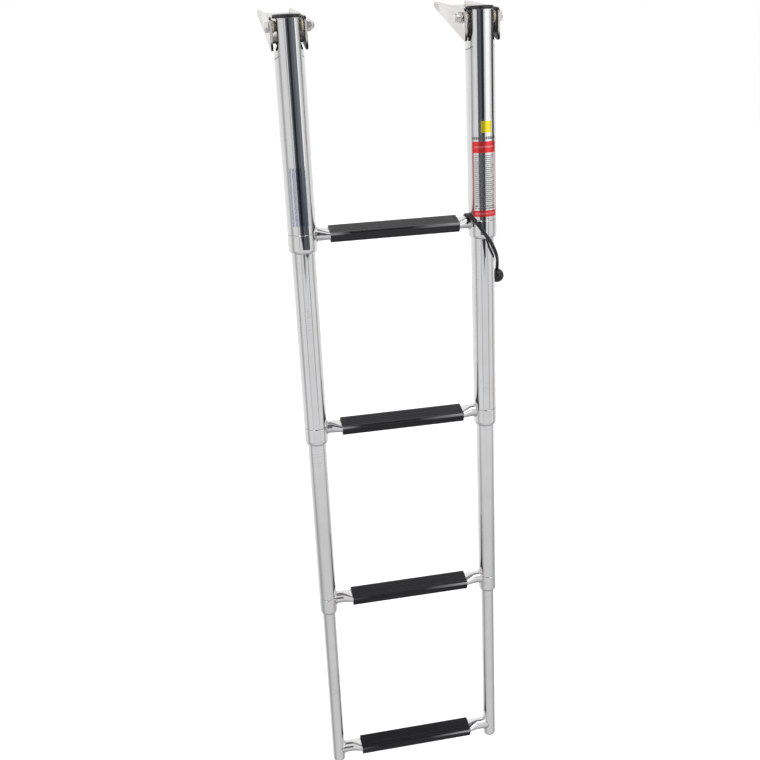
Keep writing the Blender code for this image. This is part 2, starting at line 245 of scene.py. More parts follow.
def bevel(obj, width):
    """Ease the corners and apply it at once."""
    mod = obj.modifiers.new("bevel", "BEVEL")
    mod.width, mod.segments, mod.limit_method = width, 2, "ANGLE"
    mod.angle_limit = radians(40)
    mod.harden_normals = False
    bake(obj, 50)


# ---- materials

def new_material(name, color, roughness, metallic=0.0, **sockets):
    mat = bpy.data.materials.new(name)
    mat.use_nodes = True
    shader = mat.node_tree.nodes["Principled BSDF"]
    shader.inputs["Base Color"].default_value = (*color, 1)
    shader.inputs["Roughness"].default_value = roughness
    shader.inputs["Metallic"].default_value = metallic
    for socket, value in sockets.items():
        shader.inputs[socket.replace("_", " ")].default_value = value
    return mat, mat.node_tree, shader


def node(tree, kind, props=None, **inputs):
    """Add a node; inputs are values or sockets to link, by name or by in0, in1..."""
    made = tree.nodes.new("ShaderNode" + kind)
    for key, value in (props or {}).items():
        setattr(made, key, value)
    for key, value in inputs.items():
        index = int(key[2:]) if key[:2] == "in" and key[2:].isdigit() else key.replace("_", " ")
        target = made.inputs[index]
        if isinstance(value, bpy.types.NodeSocket):
            tree.links.new(value, target)
        else:
            target.default_value = value
    return made


def math(tree, operation, *values):
    inputs = {f"in{i}": v for i, v in enumerate(values)}
    return node(tree, "Math", {"operation": operation}, **inputs).outputs[0]


def chain(tree, operation, first, *rest):
    for value in rest:
        first = math(tree, operation, first, value)
    return first


def times(tree, *values):
    return chain(tree, "MULTIPLY", *values)


def plus(tree, *values):
    return chain(tree, "ADD", *values)


def minus(tree, first, second):
    return math(tree, "SUBTRACT", first, second)


def largest(tree, *values):
    return chain(tree, "MAXIMUM", *values)


def apart(tree, first, second):
    """How far apart two values are."""
    return math(tree, "ABSOLUTE", minus(tree, first, second))


def xyz(tree, kind="Object"):
    """The x, y and z of a texture coordinate."""
    return tuple(node(tree, "SeparateXYZ", in0=node(tree, "TexCoord").outputs[kind]).outputs)


def turn_of(tree, x, y):
    """Angle about the vertical, 0 at the front."""
    return math(tree, "ARCTAN2", x, times(tree, y, -1.0))


def noise(tree, scale, detail=3, roughness=0.5, stretch=(1, 1, 1)):
    point = node(tree, "TexCoord").outputs["Object"]
    vector = node(tree, "Mapping", Vector=point, Scale=stretch).outputs[0]
    made = node(tree, "TexNoise", Vector=vector, Scale=scale, Detail=detail, Roughness=roughness)
    return made.outputs[0]


def remap(tree, value, low, high, out_low, out_high, smooth=False):
    kind = "SMOOTHSTEP" if smooth else "LINEAR"
    made = node(tree, "MapRange", {"interpolation_type": kind}, in0=value,
                in1=low, in2=high, in3=out_low, in4=out_high)
    return made.outputs[0]


def rise(tree, value, low, high):
    return remap(tree, value, low, high, 0.0, 1.0)


def fall(tree, value, low, high):
    return remap(tree, value, low, high, 1.0, 0.0)


def between(tree, value, low, high, soft):
    """1 inside a range of values, with soft ends."""
    return times(tree, rise(tree, value, low - soft, low + soft),
                 fall(tree, value, high - soft, high + soft))


def mix(tree, factor, first, second):
    """Blend two colours, each a socket or an RGB triple."""
    first, second = (c if isinstance(c, bpy.types.NodeSocket) else (*c, 1) for c in (first, second))
    made = node(tree, "Mix", {"data_type": "RGBA"}, in0=factor, in6=first, in7=second)
    return made.outputs[2]


def bump(tree, height, strength, distance, **normal):
    made = node(tree, "Bump", Height=height, Strength=strength, Distance=distance, **normal)
    return made.outputs[0]


def feed(shader, **sockets):
    """Link values to a shader's sockets."""
    for socket, value in sockets.items():
        shader.id_data.links.new(value, shader.inputs[socket.replace("_", " ")])


def source(shader, socket):
    """What already feeds a socket."""
    return shader.inputs[socket].links[0].from_socket


def scratches(tree, stretch):
    """Sparse fine lines: thin crests of stretched noise where a patch mask allows."""
    crest = apart(tree, noise(tree, 1.0, 2, 0.6, stretch), 0.5)
    patch = rise(tree, noise(tree, 22, 2), 0.52, 0.66)
    return times(tree, fall(tree, crest, 0.0, 0.012), patch)


def steel(name, along, base, rough, grain):
    """Polished stainless: long polishing lines, a few scratches and faint smudges."""
    mat, tree, shader = new_material(name, base, rough, 1.0)
    fine, cross = [900.0] * 3, [40.0] * 3
    axis = "XYZ".index(along)
    fine[axis], cross[axis] = 7.0, 260.0
    lines = noise(tree, 1.0, 4, 0.6, fine)
    scars = scratches(tree, cross)
    smudge = rise(tree, noise(tree, 38, 4, 0.6), 0.42, 0.72)
    tint = mix(tree, smudge, base, (base[0] * 0.965, base[1] * 0.96, base[2] * 0.95))
    polish = bump(tree, lines, grain, 0.0002)
    feed(shader, Base_Color=mix(tree, scars, tint, (0.62, 0.62, 0.62)),
         Roughness=plus(tree, remap(tree, lines, 0.3, 0.7, rough * 0.7, rough * 1.5),
                        times(tree, smudge, 0.035), times(tree, scars, 0.12)),
         Normal=bump(tree, scars, 0.12, -0.0001, Normal=polish))
    return mat, tree, shader


def overlay(tree, shader, mask, color):
    """Lay a colour over what already feeds the base colour."""
    feed(shader, Base_Color=mix(tree, mask, source(shader, "Base Color"), color))


DASH_FOOT, DASH_TOP = -0.244, -0.170
DASH_COLUMNS = ((-41, -33), (-29, -20), (-16, 8), (22, 26))


def upper_rail_steel(side):
    """Rail steel with painted shade along the press marks and, on the left rail, faint printed
    dashes.
    """
    mat, tree, shader = steel(f"{side}_rail_steel", "Z", *RAIL_FINISH)
    x, y, z = xyz(tree)
    x = minus(tree, x, RAIL_X[side])
    # Painted shade: a thin dark line in colour along each press mark.
    share = math(tree, "MINIMUM", math(tree, "DIVIDE", math(tree, "ABSOLUTE", x), TUBE_R[0]), 1.0)
    lean = math(tree, "DIVIDE", math(tree, "ARCCOSINE", share), MARK_SPREAD)
    line = plus(tree, times(tree, math(tree, "POWER", lean, 2.0), MARK_RISE), MARK_Z)
    mark_shade = times(tree, fall(tree, apart(tree, z, line), 0.0003, 0.0009),
                 remap(tree, lean, 0.85, 1.0, 0.8, 0.0))
    overlay(tree, shader, mark_shade, (0.10, 0.10, 0.10))
    if side == "left":
        turn = turn_of(tree, x, y)
        columns = plus(tree, *[between(tree, turn, radians(low), radians(high), 0.01)
                               for low, high in DASH_COLUMNS])
        cells = node(tree, "CombineXYZ", in0=times(tree, turn, 26.0),
                     in1=times(tree, z, 900.0)).outputs[0]
        grain = node(tree, "TexNoise", Vector=cells, Scale=1.0, Detail=1.0).outputs[0]
        ink = times(tree, remap(tree, grain, 0.42, 0.48, 0.0, 0.72), columns,
                    between(tree, z, DASH_FOOT, DASH_TOP, 0.0006))
        overlay(tree, shader, ink, (0.13, 0.17, 0.38))
    return mat


def bracket_steel(side):
    """Polished cheeks, ground edges and a rougher inside, with painted shade on the inside and at
    the ears' lower front ends and top front corners, told apart by place.
    """
    mat, tree, shader = steel(f"{side}_bracket_steel", "Y", (0.72, 0.71, 0.70), 0.10, 0.05)
    x, y, z = xyz(tree)
    away = apart(tree, x, RAIL_X[side])
    near = fall(tree, y, 0.034, 0.050)
    # Painted shade: the inside of the channel, between the ears, is darkened in colour.
    inside = times(tree, fall(tree, away, EAR_INNER + 0.0001, EAR_INNER + 0.0003), near)
    edge = times(tree, rise(tree, away, EAR_INNER + 0.0001, EAR_INNER + 0.0004),
                 fall(tree, away, EAR_OUTER - 0.0004, EAR_OUTER - 0.00015))
    # Painted shade: the edges at the ears' lower front ends and top front corners are darkened in
    # colour.
    foot = times(tree, edge, fall(tree, z, -0.023, -0.017), near)
    brow = times(tree, edge, rise(tree, z, 0.004, 0.0075), fall(tree, y, -0.004, 0.002))
    edge_shade = largest(tree, foot, brow)
    # A mottle in the painted shade inside the channel.
    shade_mottle = remap(tree, noise(tree, 90, 3, 0.6), 0.35, 0.65, 0.8, 1.0)
    overlay(tree, shader, times(tree, edge, 0.85), (0.52, 0.51, 0.50))
    overlay(tree, shader, edge_shade, (0.03, 0.03, 0.032))
    overlay(tree, shader, times(tree, inside, shade_mottle), (0.022, 0.021, 0.022))
    feed(shader, Metallic=remap(tree, minus(tree, edge, edge_shade), 0.0, 1.0, 1.0, 0.35),
         Roughness=plus(tree, source(shader, "Roughness"), times(tree, inside, 0.30),
                        times(tree, edge, 0.12)))
    return mat


def weld_steel():
    """Polished weld: ripples, with a little heat colour at its edge."""
    mat, tree, shader = new_material("weld_steel", (0.72, 0.70, 0.68), 0.16, 1.0)
    heat = rise(tree, noise(tree, 160, 3), 0.4, 0.7)
    feed(shader, Base_Color=mix(tree, heat, (0.78, 0.77, 0.76), (0.60, 0.55, 0.50)),
         Roughness=remap(tree, heat, 0, 1, 0.12, 0.24),
         Normal=bump(tree, noise(tree, 700, 2), 0.25, 0.0004))
    return mat


def rubber(name, color, rough, grain_scale, grain, wear_scale=34, stretch=(0.35, 1, 1)):
    """Black rubber: fine pores, and worn patches that are paler and duller."""
    mat, tree, shader = new_material(name, color, rough, Specular_IOR_Level=0.5)
    pores = noise(tree, grain_scale, 4, 0.65)
    wear = rise(tree, noise(tree, wear_scale, 4, 0.6, stretch), 0.42, 0.66)
    feed(shader, Base_Color=mix(tree, wear, color, [c * 1.4 + 0.003 for c in color]),
         Roughness=plus(tree, remap(tree, pores, 0.3, 0.7, rough - 0.05, rough + 0.05),
                        times(tree, wear, 0.16)),
         Normal=bump(tree, pores, grain, 0.0003))
    return mat, tree, shader


def tread_rubber(number):
    """Glossy tread rubber with a painted highlight along the nose towards its ends; lower steps are
    duller.
    """
    mat, tree, shader = rubber(f"tread_rubber_{number}", (0.0042, 0.0042, 0.0060), 0.15,
                               1300, 0.05, 420, (0.02, 1, 1))
    shader.inputs["Specular IOR Level"].default_value = 0.49 - 0.06 * number
    x, y, z = xyz(tree)
    y, z = minus(tree, y, RUNG_Y), minus(tree, z, RUNG_Z[number - 1])
    depth = plus(tree, times(tree, y, cos(HANG_ANGLE)), times(tree, z, sin(HANG_ANGLE)))
    height = minus(tree, times(tree, z, cos(HANG_ANGLE)), times(tree, y, sin(HANG_ANGLE)))
    top, front = TREAD_HEIGHT / 2, -TREAD_WIDTH / 2
    # Painted highlight: a pale band along the nose towards the right end, and towards the left end
    # on the upper two treads, faintly on the lower ones.
    nose = times(tree, between(tree, height, top - 0.0030, top + 0.001, 0.0006),
                 fall(tree, depth, front + 0.0010, front + 0.0020))
    right = rise(tree, x, 0.020, 0.085)
    left = remap(tree, x, -0.090, -0.060, 1.0 if number < 3 else 0.2, 0.0)
    # Streaks in the painted highlight.
    highlight_streak = remap(tree, noise(tree, 300, 3, 0.6, (0.06, 1, 1)), 0.35, 0.60, 0.5, 1.0)
    overlay(tree, shader, times(tree, nose, largest(tree, left, right), highlight_streak), (0.27, 0.27, 0.28))
    return mat


def plastic(name, color, rough, scale, coat=0.0):
    """Moulded plastic: a fine moulded texture with slight colour drift."""
    mat, tree, shader = new_material(name, color, rough, Coat_Weight=coat)
    drift = rise(tree, noise(tree, 60, 3), 0.3, 0.7)
    texture = noise(tree, scale, 3, 0.6)
    low, high = [c * 0.85 for c in color], [min(1, c * 1.18) for c in color]
    feed(shader, Base_Color=mix(tree, drift, low, high),
         Roughness=remap(tree, texture, 0.3, 0.7, rough - 0.08, rough + 0.08),
         Normal=bump(tree, texture, 0.12, 0.0003))
    return mat, tree, shader


# ---- strap (cord first)

EYE_ROUTE = (
    (0.1006, 0.0106, -0.2618), (0.1006, 0.0110, -0.2590), (0.1006, 0.0095, -0.2535),
    (0.1004, 0.0055, -0.2495), (0.1003, 0.0000, -0.2480), (0.1010, -0.0046, -0.2490),
    (0.1022, -0.0078, -0.2503), (0.1035, -0.0106, -0.2519), (0.1048, -0.0130, -0.2535),
    (0.1064, -0.0158, -0.2557), (0.1077, -0.0180, -0.2575),
)
STRAP_ROUTE = (
    (0.1081, -0.0185, -0.2579), (0.1110, -0.0215, -0.2613), (0.1185, -0.0232, -0.2721),
    (0.1263, -0.0228, -0.2833), (0.1326, -0.0196, -0.2945), (0.1374, -0.0132, -0.3034),
    (0.1414, -0.0042, -0.3110), (0.1447, 0.0056, -0.3195), (0.1460, 0.0112, -0.3286),
)
STRAP_RADIUS = 0.0025


def smooth_route(route, steps):
    pts = [Vector(p) for p in route]
    pts = [2 * pts[0] - pts[1]] + pts + [2 * pts[-1] - pts[-2]]
    result = []
    for a, b, c, d in zip(pts, pts[1:], pts[2:], pts[3:]):
        for k in range(steps):
            t = k / steps
            result.append(0.5 * (2 * b + (c - a) * t + (2 * a - 5 * b + 4 * c - d) * t ** 2
                                 + (3 * b - a - 3 * c + d) * t ** 3))
    result.append(pts[-2])
    return result


def frames_along(points):
    """A turning frame (point, side, up) at each point of a path."""
    frames = []
    side = Vector((1, 0, 0))
    for i, point in enumerate(points):
        ahead = (points[min(i + 1, len(points) - 1)] - points[max(i - 1, 0)]).normalized()
        side = (side - ahead * side.dot(ahead)).normalized()
        frames.append((point, side, ahead.cross(side)))
    return frames


def make_strap(material, rivet_steel):
    points = smooth_route(STRAP_ROUTE, 6)
    rings = []
    for k, (point, side, up) in enumerate(frames_along(points)):
        radius = STRAP_RADIUS * (1 - 0.10 * exp(-k / 3.0))
        rings.append([point + (side * c + up * s) * radius for c, s in spokes(20)])
    strand = skin("strap_strand", rings)
    place(strand, material, "section_1", "black_rubber", "retaining_strap")

    low, high = box("strap_ball")
    ball = make_ball(middle("strap_ball"), (high.z - low.z) / 2)
    place(ball, material, "section_1", "black_rubber", "strap_ball")

    make_strap_eye(material, rivet_steel)


def make_ball(centre, radius):
    """A moulded ball with a parting ridge, set square to the strand."""
    neck = (Vector(STRAP_ROUTE[-1]) - centre).normalized()
    side = neck.cross(Vector((0, 1, 0))).normalized()
    up = neck.cross(side)
    rings = []
    for k in range(1, 36):
        angle = pi * k / 36
        reach = radius * (1 + 0.012 * exp(-((angle - pi / 2) / 0.035) ** 2)) - 0.00015
        along, out = reach * cos(angle), reach * sin(angle)
        rings.append([centre + neck * along + (side * c + up * s) * out for c, s in spokes(48)])
    return skin("strap_end_ball", rings, sharp=60)


def make_strap_eye(material, rivet_steel):
    """The doubled end: two strands side by side over the rung, joined at both ends."""
    points = smooth_route(EYE_ROUTE, 6)
    count = len(points)
    half_wide, half_thick = 0.0025, 0.00135
    rings = []
    for k, (point, side, out) in enumerate(frames_along(points)):
        from_end = min(k, count - 1 - k)
        fullness = min(1.0, 0.55 + from_end * 0.15)
        crease = 0.00075 if 12 < k < count - 7 else 0.0
        ring = []
        for across, lift in spokes(40):
            pinch = exp(-(across / 0.17) ** 2) * crease
            high = (half_thick * abs(lift) ** 0.7 - pinch) * (1 if lift > 0 else -1)
            ring.append(point + side * (half_wide * fullness * across) + out * (high * fullness))
        rings.append(ring)
    eye = skin("strap_doubled_end", rings, sharp=75)
    place(eye, material, "section_1", "black_rubber", "strap_eye")

    low, high = box("strap_rivet")
    x, _, z = middle("strap_rivet")
    radius, depth, stem_radius = half_width("strap_rivet"), 0.0015, 0.0013
    seat = high.y - depth

    def ring(r, y):
        return [(x + r * c, y, z + r * s) for c, s in spokes(32)]

    dome = [ring(radius * cos(radians(a)), seat + depth * sin(radians(a)))
            for a in range(0, 86, 10)]
    stem = [ring(stem_radius, low.y), ring(stem_radius, seat), ring(radius * 0.96, seat)]
    rivet = skin("strap_rivet_head", stem + dome, sharp=45)
    place(rivet, rivet_steel, "section_1", "bolt_steel", "strap_rivet")


# ---- rails

def soft_clamp(value, limit):
    """Clamp a half width with a softly rounded shoulder."""
    size = abs(value)
    if size < limit * 0.5:
        return value
    power = 26
    clamped = (size ** -power + limit ** -power) ** (-1 / power)
    return clamped if value > 0 else -clamped


def press_width(radius, z):
    """Half width across the flats; well over the radius where the tube is round."""
    t = min(1, max(0, (z - PRESS_START_Z) / (PRESS_FULL_Z - PRESS_START_Z)))
    ease = t * t * (3 - 2 * t)
    wide = radius * 1.10
    narrow = PRESSED_HALF_WIDTH - (TUBE_R[0] - radius)
    return wide + (narrow - wide) * ease


def die_mark(x_off, z):
    """Shallow crescent left by the press at the foot of each flat."""
    radius = TUBE_R[0]
    lean = acos(min(1.0, abs(x_off) / radius))
    line = MARK_Z + MARK_RISE * (lean / MARK_SPREAD) ** 2
    return 0.00030 * exp(-((z - line) / 0.00050) ** 2) * exp(-(lean / MARK_SPREAD) ** 6)


def make_upper_tube(side, material):
    x, radius = RAIL_X[side], TUBE_R[0]
    low, high = box(f"{side}_upper_tube")
    top, foot = high.z, low.z
    levels = [foot + EDGE * k for k in range(4)]
    levels += [z for z in (foot + 0.012 * k for k in range(1, 18)) if z < MARK_RINGS_Z]
    levels += [z for z in (MARK_RINGS_Z + MARK_RING_STEP * k for k in range(84))
               if z < top - 4 * EDGE]
    levels += [top - EDGE * k for k in (3, 2, 1, 0)]
    around = spokes(144)
    rings = []
    for z in levels:
        ring = []
        inset = EDGE if z in (levels[0], levels[-1]) else 0.0
        for c, s in around:
            across = soft_clamp((radius - inset) * c, press_width(radius, z) - inset)
            share = 1 - die_mark(across, z) / radius
            ring.append((x + across * share, (radius - inset) * s * share, z))
        rings.append(ring)
    bore = radius - WALL
    for z in (top, PRESS_FULL_Z, (PRESS_FULL_Z + PRESS_START_Z) / 2, PRESS_START_Z, foot):
        rings.append([(x + soft_clamp(bore * c, press_width(bore, z)), bore * s, z)
                      for c, s in around])
    tube = skin(f"{side}_upper_rail", rings, closed=True, sharp=32)
    drill = skin("drill", [cross_circle(x + end, BOLT_HOLE, 48) for end in (-radius, radius)])
    boolean(tube, drill)
    place(tube, material, "section_1", "polished_steel", f"{side}_upper_tube")


def make_lower_tube(side, number, material):
    x, radius = RAIL_X[side], TUBE_R[number - 1]
    low, high = box(f"{side}_tube_{number}")
    top, foot, bore = high.z, low.z, radius - WALL
    if number < 4:
        profile = [(radius - EDGE, foot), (radius, foot + EDGE), (radius, top - EDGE),
                   (radius - EDGE, top), (bore, top), (bore, foot)]
        tube = turned(f"{side}_rail_{number}", x, profile)
    else:
        bend = 0.0055
        profile = [(bore, top - 0.02), (bore, top), (radius - EDGE, top), (radius, top - EDGE)]
        profile += arc(radius - bend, foot + bend, bend, 0, -84, 10)
        profile += [((radius - bend) * t, foot + 0.00002) for t in (0.95, 0.6, 0.25)]
        tube = turned(f"{side}_rail_{number}", x, profile, closed=False)
    place(tube, material, f"section_{number}", "polished_steel", f"{side}_tube_{number}")


def make_collar(side, number, material):
    """Collar with a softly rounded top edge and a deeper rounded lower lip."""
    low, high = box(f"{side}_collar_{number}")
    radius, top, bottom = (high.x - low.x) / 2, high.z, low.z
    mouth, cavity, lip = TUBE_R[number] + GAP, radius - 0.0019, 0.0024
    bend, tall, top_bend = min((radius - mouth) * 0.86, 0.0046), 0.0062, 0.0007
    profile = [(mouth, bottom + lip), (mouth, bottom + 0.0003), (mouth + 0.0003, bottom)]
    profile += [(radius - bend + bend * sin(radians(a)), bottom + tall - tall * cos(radians(a)))
                for a in range(18, 91, 9)]
    profile += arc(radius - top_bend, top - top_bend, top_bend, 0, 90, 5)
    profile += [(cavity, top), (cavity, bottom + lip)]
    collar = turned(f"{side}_collar_ring_{number}", RAIL_X[side], profile, sharp=50)
    place(collar, material, f"section_{number}", "polished_steel", f"{side}_collar_{number}")


def make_cap(side, material):
    """Domed end cap with a rim, seated on the tube's pressed head."""
    x = RAIL_X[side]
    low, high = box(f"{side}_end_cap")
    radius, bend, shoulder = (high.x - low.x) / 2, 0.0012, 0.86
    seat = box(f"{side}_upper_tube")[1].z + GAP
    lift = high.z - seat
    slim, bore = (half - WALL - GAP for half in (PRESSED_HALF_WIDTH, TUBE_R[0]))
    rings = [[(x + max(-slim, min(slim, bore * c)), bore * s, z) for c, s in spokes(ROUND)]
             for z in (low.z, seat)]
    profile = [(radius - 0.0004, seat), (radius, seat + 0.0004), (radius, seat + 0.0007)]
    profile += arc(radius - bend, seat + lift * shoulder - bend, bend, 0, 78, 7)
    for t in (1 - k / 8 for k in range(1, 8)):
        profile.append(((radius - bend * 0.8) * t + 0.001,
                        seat + lift * (shoulder + (1 - shoulder) * (1 - t ** 2))))
    profile[-1] = (profile[-1][0], high.z)
    cap = skin(f"{side}_rail_cap", rings + [circle(x, r, z) for r, z in profile], sharp=45)
    place(cap, material, "section_1", "black_plastic", f"{side}_end_cap")


# ---- steps

def tilted(u, v, index):
    """A point of a step's section, u towards the boat and v up, level when in use."""
    return (RUNG_Y + u * cos(HANG_ANGLE) - v * sin(HANG_ANGLE),
            RUNG_Z[index] + u * sin(HANG_ANGLE) + v * cos(HANG_ANGLE))


def flat_oval(width, height, angle):
    """A point on a flat-sided oval, by direction."""
    end = height / 2
    straight = width / 2 - end
    lean = cos(angle)
    blend = max(-1.0, min(1.0, lean * 2.2))
    return straight * blend + end * lean, end * sin(angle)


def rung_ring(index, x, flat, shrink, count=56):
    """A rung's section, from round (flat 0) to pressed flat (flat 1)."""
    ring = []
    radius = RUNG_RADIUS - shrink
    for i in range(count):
        angle = 2 * pi * (i + 0.5) / count
        round_y = radius * cos(angle + HANG_ANGLE)
        round_z = radius * sin(angle + HANG_ANGLE) + RUNG_Z[index]
        u, v = flat_oval(FLAT_WIDTH - 2 * shrink, FLAT_HEIGHT - 2 * shrink, angle)
        flat_y, flat_z = tilted(u, v, index)
        ring.append((x, round_y + (flat_y - round_y) * flat, round_z + (flat_z - round_z) * flat))
    return ring


def coped(ring, index, sign):
    """Move a rung end's points onto the rail's surface."""
    clear = TUBE_R[index] + WELD_LIFT + GAP
    centre = sign * RAIL_X["right"]
    return [(centre - sign * sqrt(clear ** 2 - y ** 2), y, z) for _, y, z in ring]


def rung_run(index, shrink):
    """Rings from the left rail to the right: round ends pressed flat under the tread."""
    start = TREAD_HALF - 0.002
    stations = [(start + RUNG_TAPER * t, max(0.0, 1 - t * 1.12 + 0.12 * t ** 3))
                for t in (k / 17 for k in range(18))]
    edge = [coped(rung_ring(index, 0, 0, shrink), index, sign) for sign in (-1, 1)]
    left = [rung_ring(index, -x, flat, shrink) for x, flat in reversed(stations)]
    right = [rung_ring(index, x, flat, shrink) for x, flat in stations]
    return [edge[0]] + left + right + [edge[1]]


def make_rung(number, material, weld):
    index = number - 1
    rings = rung_run(index, 0.0) + rung_run(index, WALL)[::-1]
    rung = skin(f"rung_tube_{number}", rings, closed=True, sharp=50)
    body = f"section_{number}"
    place(rung, material, body, "polished_steel", f"rung_{number}")
    for side, sign in SIDES.items():
        path = [Vector(p) for p in coped(rung_ring(index, 0, 0, -WELD_LIFT), index, sign)]
        bead = make_bead(f"{side}_weld_{number}", path, sign, index)
        place(bead, weld, body, "polished_steel")


def make_bead(name, path, sign, index):
    """A low rippled fillet along the joint of rung and rail."""
    rail = Vector((sign * RAIL_X["right"], 0, 0))
    rings = []
    count = len(path)
    for k in range(count * 2):
        point = path[k // 2].lerp(path[(k // 2 + 1) % count], (k % 2) / 2)
        out = Vector((0, point.y, point.z - RUNG_Z[index])).normalized()
        radial = Vector((point.x - rail.x, point.y, 0)).normalized()
        size = 0.00105 + 0.00012 * sin(k * 2 * pi / 5.6)
        rings.append([point + radial * (size * c) + out * (size * s) for c, s in spokes(8)])
    return skin(name, rings, closed=True, sharp=70)


def tread_outline():
    """Section of the tread sleeve: a ribbed top, a rounded nose and a plain underside."""
    half_w, half_h = TREAD_WIDTH / 2, TREAD_HEIGHT / 2
    base = rounded([(-half_w, -half_h, 0.0030), (half_w, -half_h, 0.0040),
                    (half_w, half_h, 0.0034), (-half_w, half_h, 0.0022)], 8)
    points = []
    for i, (u, v) in enumerate(base):
        points.append((u, v))
        nu, nv = base[(i + 1) % len(base)]
        if sqrt((nu - u) ** 2 + (nv - v) ** 2) < 0.004:
            continue
        ribbed = v > half_h * 0.99
        steps = RIB_STEPS if ribbed else 10
        for k in range(1, steps):
            t, groove = k / steps, 0.0
            if ribbed and 0.5 < t * RIBS < RIBS - 0.4:
                phase = (t * RIBS) % 1.0
                groove = GROOVE * exp(-(min(phase, 1 - phase) / 0.085) ** 2)
            points.append((u + (nu - u) * t, v + (nv - v) * t - groove))
    return points


def make_tread(number, material):
    index = number - 1
    outline = tread_outline()
    ends = [(-TREAD_HALF, TREAD_BEVEL), (-TREAD_HALF + TREAD_BEVEL, 0.0)]
    plan = ends + [(-TREAD_HALF + 2 * TREAD_HALF * k / 12, 0.0) for k in range(1, 12)]
    plan += [(-x, inset) for x, inset in reversed(ends)]
    rings = []
    for x, inset in plan:
        scale_u, scale_v = (1 - inset / (size / 2) for size in (TREAD_WIDTH, TREAD_HEIGHT))
        rings.append([(x, *tilted(u * scale_u, v * scale_v, index)) for u, v in outline])
    inner = [flat_oval(FLAT_WIDTH + 2 * GAP, FLAT_HEIGHT + 2 * GAP,
                       atan2(v / TREAD_HEIGHT, u / TREAD_WIDTH)) for u, v in outline]
    for x in (TREAD_HALF, -TREAD_HALF):
        rings.append([(x, *tilted(u, v, index)) for u, v in inner])
    tread = skin(f"tread_sleeve_{number}", rings, closed=True, sharp=35)
    place(tread, material, f"section_{number}", "black_rubber", f"tread_{number}")


# ---- brackets and hinges

def deck_point(s, h):
    """A point s along the deck and h above it, as (y, z)."""
    below = HINGE_HEIGHT - h
    return (s * cos(HANG_ANGLE) + below * sin(HANG_ANGLE),
            s * sin(HANG_ANGLE) - below * cos(HANG_ANGLE))


def plate(name, outline, x_low, x_high):
    return skin(name, [[(x, *deck_point(s, h)) for s, h in outline] for x in (x_low, x_high)])


def make_bracket(side, material):
    """A channel of two tapering ears and a web, with soft inner bends and drilled holes."""
    x = RAIL_X[side]
    ear = rounded(EAR_CORNERS, 12)
    tube_back, lap = TUBE_R[0] + GAP, 0.0005
    front = (tube_back - (HINGE_HEIGHT - PLATE) * sin(HANG_ANGLE)) / cos(HANG_ANGLE)
    web = [(front, 0), (WEB_END, 0), (WEB_END, PLATE), (front, PLATE)]
    reach = EAR_INNER + PLATE / 2
    bracket = plate(f"{side}_deck_bracket", ear, x - EAR_OUTER, x - EAR_INNER)
    boolean(bracket, plate("far", ear, x + EAR_INNER, x + EAR_OUTER), "UNION")
    boolean(bracket, plate("web", web, x - reach, x + reach), "UNION")
    for sign in (-1, 1):
        corner = x + sign * EAR_INNER
        ring = [(corner + sign * lap, PLATE - lap)]
        ring += [(corner + sign * INNER_BEND * u, PLATE + INNER_BEND * v)
                 for u, v in arc(-1, 1, 1, 270, 360, 6)]
        boolean(bracket, skin("bend", [[(px, *deck_point(s, h)) for px, h in ring]
                                       for s in (front + lap, WEB_END - lap)]), "UNION")
    boolean(bracket, skin("drill", [cross_circle(x + end, BOLT_HOLE, 40) for end in (-0.03, 0.03)]))
    for s in SCREW_S:
        rings = [[(x + radius * a, *deck_point(s + radius * b, h)) for a, b in spokes(32)]
                 for h, radius in ((-PLATE, SCREW_HOLE), (PLATE - 0.0018, SCREW_HOLE),
                                   (PLATE + 0.0012, SCREW_HEAD))]
        boolean(bracket, skin("countersink", rings))
    bevel(bracket, 0.0004)
    place(bracket, material, "brackets", "satin_steel", f"{side}_bracket")


def hexagon(x, phase, count=48, round_off=0.0001):
    """The bolt's hexagon about the hinge axis, its corners a little rounded."""
    ring, half = [], HEX_WIDTH / 2
    for i in range(count):
        angle = 2 * pi * i / count + phase
        r = min(half / cos(((angle - phase) % (pi / 3)) - pi / 6), half * 1.1547 - round_off)
        ring.append((x, r * cos(angle), r * sin(angle)))
    return ring


def min_point(y, z, limit_y, limit_z):
    """The nearer to the axis of two points in the same direction."""
    return (y, z) if y * y + z * z < limit_y ** 2 + limit_z ** 2 else (limit_y, limit_z)


def make_bolt(side, material):
    """Hexagon-headed bolt with a domed head and a threaded end."""
    x, out, phase = RAIL_X[side], SIDES[side], BOLT_TURN[side]
    seat = EAR_OUTER + GAP
    crown, tip = seat + 0.0053, seat + 0.010

    def ring(reach, radius):
        return cross_circle(x + out * reach, radius, 48, phase)

    rings = [ring(crown - 0.0003, HEX_WIDTH * 0.30), ring(crown, HEX_WIDTH * 0.38),
             ring(crown, HEX_WIDTH * 0.465)]
    rings += [hexagon(x + out * reach, phase) for reach in (crown - 0.0008, seat + 0.0004)]
    rings += [ring(seat, HEX_WIDTH * 0.47), ring(seat, SHANK)]
    thread_start, step = seat + 0.001, 0.00125 / 2
    rings.append(ring(step - thread_start, SHANK))
    rings += [ring(-(thread_start + k * step), SHANK if k % 2 else THREAD_ROOT)
              for k in range(int((tip - thread_start) / step))]
    rings.append(ring(-tip, 0.0033))
    bolt = skin(f"{side}_hinge_screw", rings, sharp=25)
    place(bolt, material, "brackets", "bolt_steel", f"{side}_hinge_bolt")


